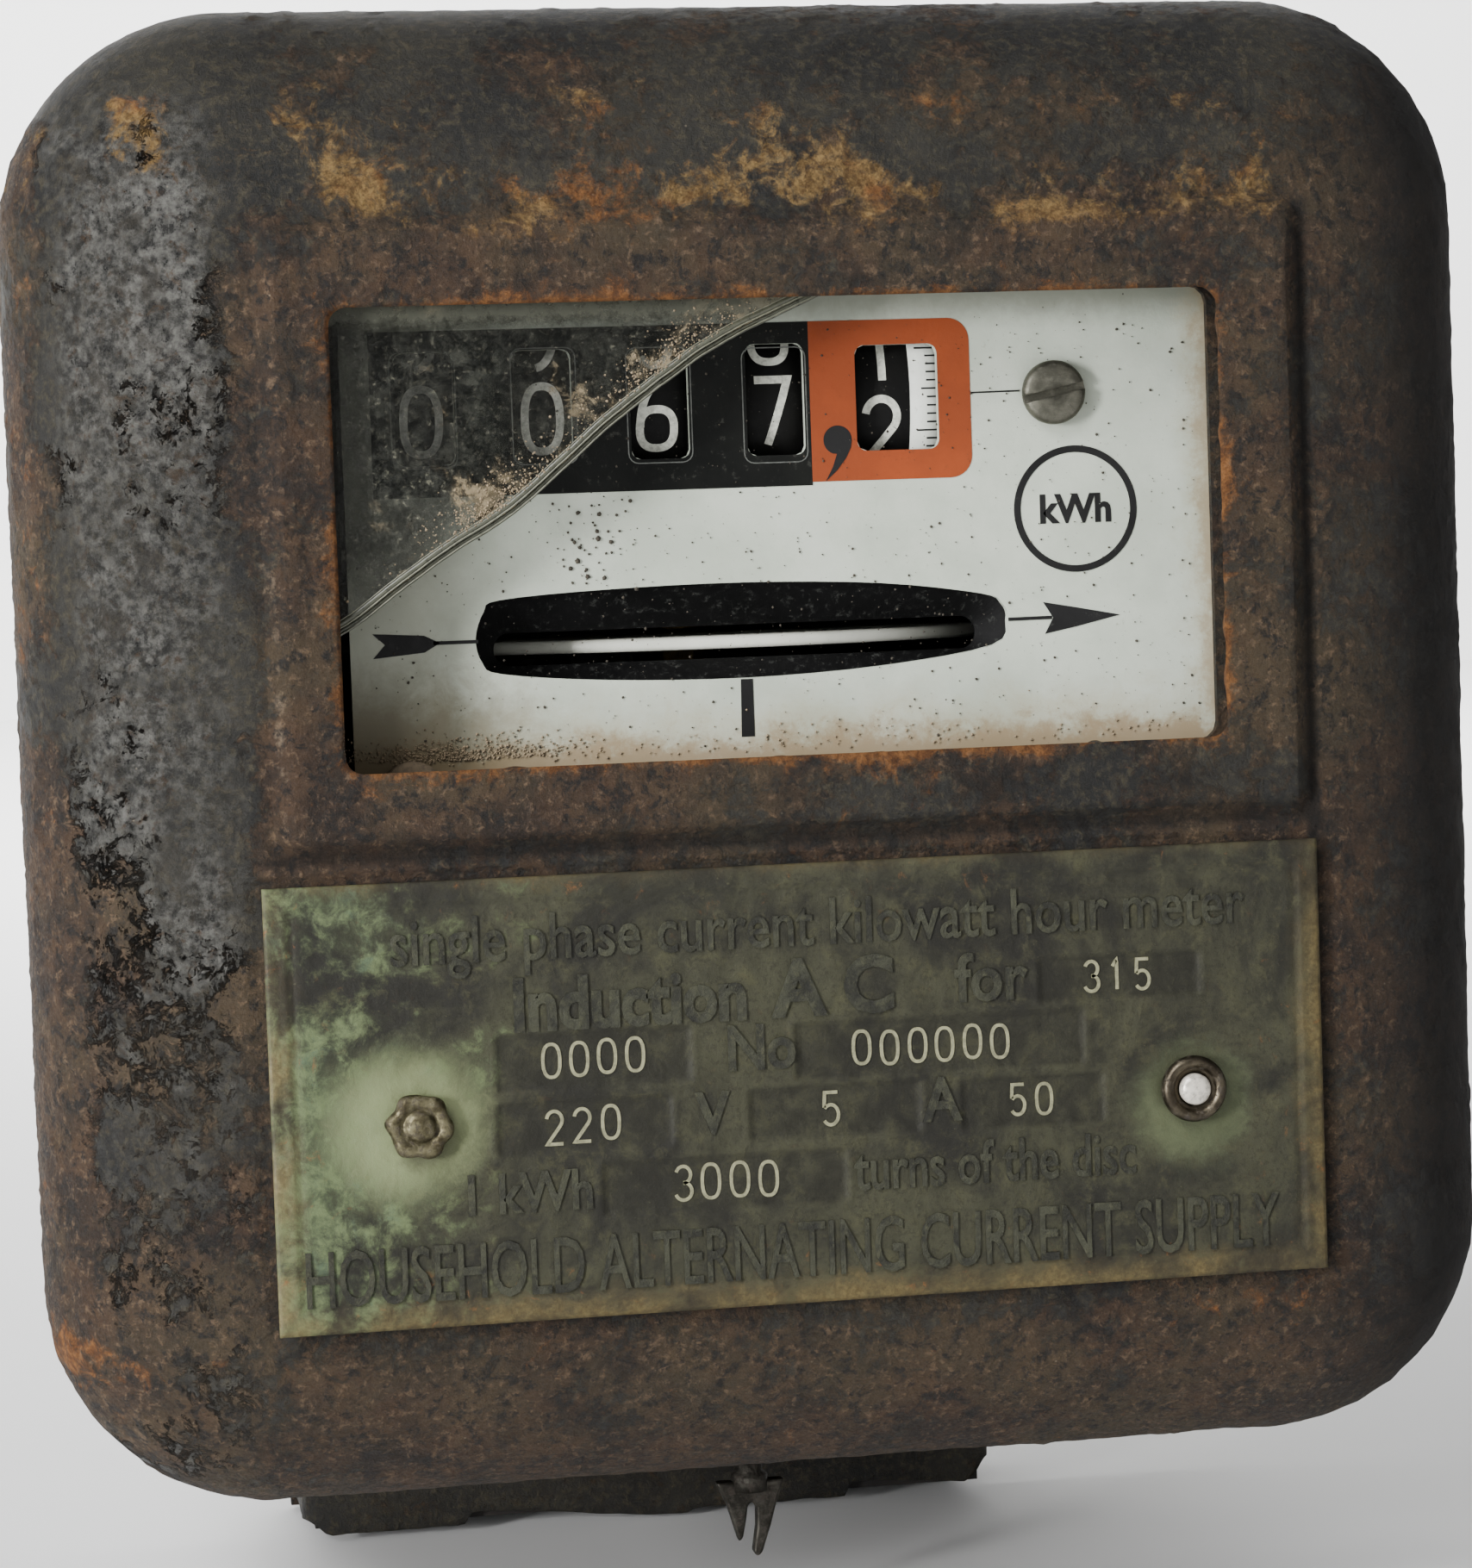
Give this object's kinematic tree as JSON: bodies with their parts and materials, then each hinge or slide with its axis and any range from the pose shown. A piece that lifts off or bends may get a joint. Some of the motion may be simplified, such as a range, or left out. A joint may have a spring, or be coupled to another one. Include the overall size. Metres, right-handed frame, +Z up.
{
  "type": "electricity meter",
  "caption": "Wall-hung single-phase induction meter: rounded steel case, read-out window with number drums over a spinning disc, riveted data plate and a terminal block below.",
  "frame": {"origin": "centre of the case's flat back face, level with the middle of the front cover", "axes": "+Z up, front faces -Y, +X to the reader's right"},
  "size_m": [0.134, 0.0962, 0.1615],
  "materials": {
    "case_paint": "black enamel, heavily rusted",
    "steel": "dull bright steel",
    "nameplate_brass": "verdigris and brown patina",
    "brass": "dull brass",
    "disc_aluminium": "plain sheet",
    "core_iron": "laminated iron and magnet steel",
    "coil_varnish": "varnished winding",
    "bakelite": "moulded black bakelite",
    "dial_enamel": "aged white print on sheet",
    "drum_black": "black with white figures",
    "felt": "felt band",
    "window_glass": "dirty clear glass",
    "rivet_steel": "corroded"
  },
  "bodies": {
    "case": {"base_pan": "case_paint", "hanging_lug": "case_paint", "front_cover": "case_paint", "cover_gasket": "felt", "window_glass": "window_glass", "window_retainer": "case_paint", "nameplate": "nameplate_brass", "nameplate_rivet_left": "rivet_steel", "nameplate_rivet_right": "rivet_steel", "cover_seal_screw": "rivet_steel", "mech_frame": "steel", "lower_bearing": "brass", "upper_bearing": "brass", "voltage_core": "core_iron", "voltage_coil": "coil_varnish", "current_core": "core_iron", "current_coil_left": "coil_varnish", "current_coil_right": "coil_varnish", "brake_magnet": "core_iron", "magnet_bracket": "steel", "register_frame": "steel", "drum_shaft": "steel", "transfer_shaft": "steel", "dial_plate": "dial_enamel", "dial_pillar_left": "steel", "dial_pillar_right": "steel", "dial_screw_left": "steel", "dial_screw_right": "steel", "terminal_block": "bakelite", "terminal_cover": "case_paint", "terminal_cover_screw": "rivet_steel", "terminal_clamp_1": "brass", "terminal_clamp_2": "brass", "terminal_clamp_3": "brass", "terminal_clamp_4": "brass", "terminal_screw_1": "brass", "terminal_screw_2": "brass", "terminal_screw_3": "brass", "terminal_screw_4": "brass"},
    "rotor": {"rotor_disc": "disc_aluminium", "rotor_hub": "brass", "rotor_spindle": "steel", "spindle_worm": "steel"},
    "arbor_a_set": {"arbor_a": "steel", "worm_wheel": "brass"},
    "arbor_b_set": {"arbor_b": "steel", "wheel_b": "brass"},
    "tenths_drum": {"drum_5": "drum_black", "wheel_c": "brass"},
    "units_drum": {"drum_4": "drum_black"},
    "tens_drum": {"drum_3": "drum_black"},
    "hundreds_drum": {"drum_2": "drum_black"},
    "thousands_drum": {"drum_1": "drum_black"},
    "transfer_4": {"transfer_pinion_4": "brass"},
    "transfer_3": {"transfer_pinion_3": "brass"},
    "transfer_2": {"transfer_pinion_2": "brass"},
    "transfer_1": {"transfer_pinion_1": "brass"}
  },
  "joints": [
    {"name": "disc_spin", "type": "hinge", "parent": "case", "child": "rotor", "pos_m": [-0.0025, -0.0434, 0], "axis": [0, 0, 1], "continuous": true},
    {"name": "worm_wheel_spin", "type": "hinge", "parent": "case", "child": "arbor_a_set", "pos_m": [0, -0.0554, 0.0485], "axis": [1, 0, 0], "continuous": true},
    {"name": "wheel_b_spin", "type": "hinge", "parent": "case", "child": "arbor_b_set", "pos_m": [0, -0.05974, 0.03705], "axis": [1, 0, 0], "continuous": true},
    {"name": "tenths_drum_spin", "type": "hinge", "parent": "case", "child": "tenths_drum", "pos_m": [0, -0.0715, 0.031], "axis": [1, 0, 0], "continuous": true},
    {"name": "units_drum_spin", "type": "hinge", "parent": "case", "child": "units_drum", "pos_m": [0, -0.0715, 0.031], "axis": [1, 0, 0], "continuous": true},
    {"name": "tens_drum_spin", "type": "hinge", "parent": "case", "child": "tens_drum", "pos_m": [0, -0.0715, 0.031], "axis": [1, 0, 0], "continuous": true},
    {"name": "hundreds_drum_spin", "type": "hinge", "parent": "case", "child": "hundreds_drum", "pos_m": [0, -0.0715, 0.031], "axis": [1, 0, 0], "continuous": true},
    {"name": "thousands_drum_spin", "type": "hinge", "parent": "case", "child": "thousands_drum", "pos_m": [0, -0.0715, 0.031], "axis": [1, 0, 0], "continuous": true},
    {"name": "transfer_4_spin", "type": "hinge", "parent": "case", "child": "transfer_4", "pos_m": [0, -0.0615, 0.021], "axis": [1, 0, 0], "continuous": true},
    {"name": "transfer_3_spin", "type": "hinge", "parent": "case", "child": "transfer_3", "pos_m": [0, -0.0615, 0.021], "axis": [1, 0, 0], "continuous": true},
    {"name": "transfer_2_spin", "type": "hinge", "parent": "case", "child": "transfer_2", "pos_m": [0, -0.0615, 0.021], "axis": [1, 0, 0], "continuous": true},
    {"name": "transfer_1_spin", "type": "hinge", "parent": "case", "child": "transfer_1", "pos_m": [0, -0.0615, 0.021], "axis": [1, 0, 0], "continuous": true}
  ],
  "couplings": [
    {"joint": "worm_wheel_spin", "follows": "disc_spin", "ratio": -0.02},
    {"joint": "wheel_b_spin", "follows": "disc_spin", "ratio": 0.0026667},
    {"joint": "tenths_drum_spin", "follows": "disc_spin", "ratio": -0.00033333},
    {"joint": "units_drum_spin", "follows": "disc_spin", "ratio": -0.000033333},
    {"joint": "tens_drum_spin", "follows": "disc_spin", "ratio": -0.0000033333},
    {"joint": "hundreds_drum_spin", "follows": "disc_spin", "ratio": -0.00000033333},
    {"joint": "thousands_drum_spin", "follows": "disc_spin", "ratio": -0.000000033333},
    {"joint": "transfer_4_spin", "follows": "disc_spin", "ratio": 0.000083333},
    {"joint": "transfer_3_spin", "follows": "disc_spin", "ratio": 0.0000083333},
    {"joint": "transfer_2_spin", "follows": "disc_spin", "ratio": 0.00000083333},
    {"joint": "transfer_1_spin", "follows": "disc_spin", "ratio": 0.000000083333}
  ]
}
